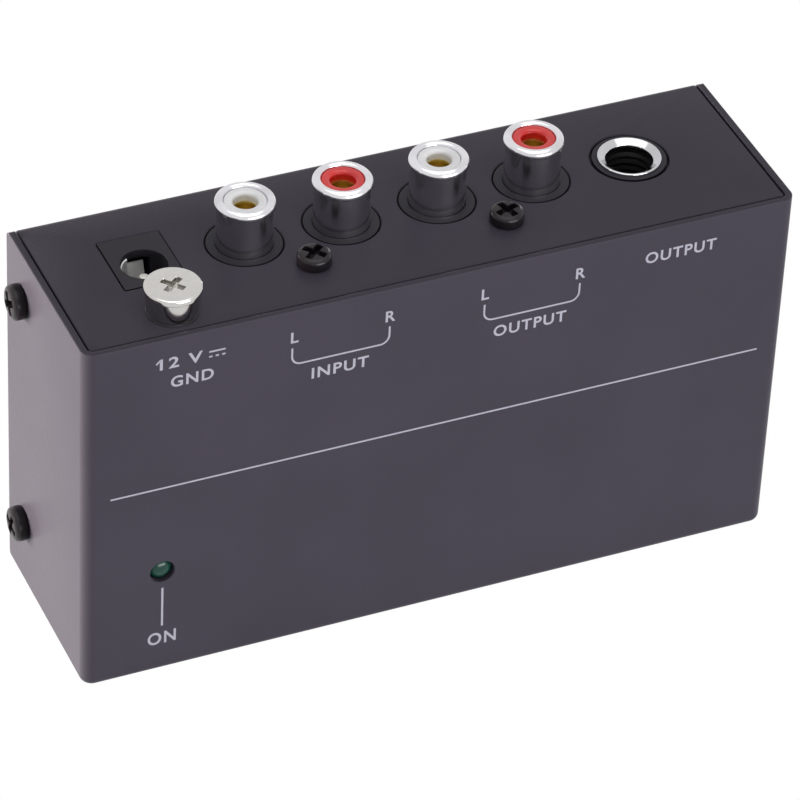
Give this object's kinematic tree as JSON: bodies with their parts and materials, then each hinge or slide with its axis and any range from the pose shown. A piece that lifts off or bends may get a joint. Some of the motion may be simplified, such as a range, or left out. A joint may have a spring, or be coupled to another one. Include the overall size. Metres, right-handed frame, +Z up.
{
  "type": "phono preamp",
  "caption": "Small flat metal box preamp with four phono sockets, a quarter inch jack, a round power socket and a ground screw on one long edge.",
  "frame": {"origin": "middle of the bottom face that the case stands on in the picture", "axes": "+Z up to the jack panel, -Y out of the lettered face, +X along the case to the quarter inch jack"},
  "size_m": [0.1068, 0.032, 0.0642],
  "materials": {
    "case_paint": "fine satin powder coat",
    "black_screw": "black oxide, glossy",
    "foot_rubber": "matte",
    "board_laminate": "solder mask",
    "plated_brass": "plated",
    "zinc_steel": "zinc plated",
    "black_moulding": "moulded",
    "bright_chrome": "polished",
    "bright_nickel": "nickel plated",
    "contact_silver": "tin plated",
    "contact_brass": "sprung sleeve",
    "green_insulation": "insulation",
    "green_lens": "tinted lens",
    "can_sleeve": "printed sleeve, bare",
    "film_case": "moulded",
    "chip_epoxy": "epoxy",
    "resistor_coat": "lacquer",
    "white_moulding": "moulded",
    "red_moulding": "moulded"
  },
  "bodies": {
    "case": {"cover_shell": "case_paint", "chassis_tray": "case_paint", "cover_screws_left": "black_screw", "cover_screws_right": "black_screw", "rubber_feet": "foot_rubber", "circuit_board": "board_laminate", "board_spacers": "plated_brass", "board_screws": "zinc_steel", "input_socket_block": "black_moulding", "output_socket_block": "black_moulding", "jack_screws": "black_screw", "phone_jack_housing": "black_moulding", "phone_jack_ferrule": "bright_chrome", "phone_jack_tip_anchor": "contact_silver", "phone_jack_ring_anchor": "contact_silver", "power_socket_housing": "black_moulding", "power_socket_pin": "contact_silver", "ground_lug": "contact_silver", "ground_nut": "zinc_steel", "ground_wire": "green_insulation", "lamp_lens": "green_lens", "lamp_leads": "contact_silver", "lamp_spacer": "black_moulding", "filter_capacitors": "can_sleeve", "coupling_capacitors": "can_sleeve", "film_capacitors": "film_case", "amplifier_chips": "chip_epoxy", "resistors": "resistor_coat", "voltage_regulator": "chip_epoxy", "input_left_shell": "bright_nickel", "input_left_insulator": "white_moulding", "input_left_contact": "contact_brass", "input_right_shell": "bright_nickel", "input_right_insulator": "red_moulding", "input_right_contact": "contact_brass", "output_left_shell": "bright_nickel", "output_left_insulator": "white_moulding", "output_left_contact": "contact_brass", "output_right_shell": "bright_nickel", "output_right_insulator": "red_moulding", "output_right_contact": "contact_brass"},
    "ground_washer_carrier": {"ground_washer": "zinc_steel"},
    "ground_screw_turning": {"ground_screw": "bright_nickel"},
    "tip_leaf": {"phone_jack_tip_spring": "contact_silver"},
    "ring_leaf": {"phone_jack_ring_spring": "contact_silver"},
    "power_leaf": {"power_socket_spring": "contact_silver"}
  },
  "joints": [
    {"name": "ground_lift", "type": "slide", "parent": "case", "child": "ground_washer_carrier", "axis": [0, 0, 1], "range_m": [0, 0.0028]},
    {"name": "ground_turn", "type": "hinge", "parent": "ground_washer_carrier", "child": "ground_screw_turning", "pos_m": [-0.0371, -0.0094, 0.0575], "axis": [0, 0, 1], "range_deg": [0, 1441]},
    {"name": "tip_leaf_flex", "type": "hinge", "parent": "case", "child": "tip_leaf", "pos_m": [0.0284, 0.0015, 0.0349], "axis": [0, -1, 0], "range_deg": [0, 7.5], "stiffness_Nm_per_rad": 0.03},
    {"name": "ring_leaf_flex", "type": "hinge", "parent": "case", "child": "ring_leaf", "pos_m": [0.0397, 0.0015, 0.0349], "axis": [0, 1, 0], "range_deg": [0, 4], "stiffness_Nm_per_rad": 0.06},
    {"name": "power_leaf_flex", "type": "hinge", "parent": "case", "child": "power_leaf", "pos_m": [-0.03695, 0.00595, 0.0462], "axis": [-1, 0, 0], "range_deg": [0, 4.5], "stiffness_Nm_per_rad": 0.03}
  ],
  "couplings": [
    {"joint": "ground_turn", "follows": "ground_lift", "rad_per_m": 8976}
  ]
}
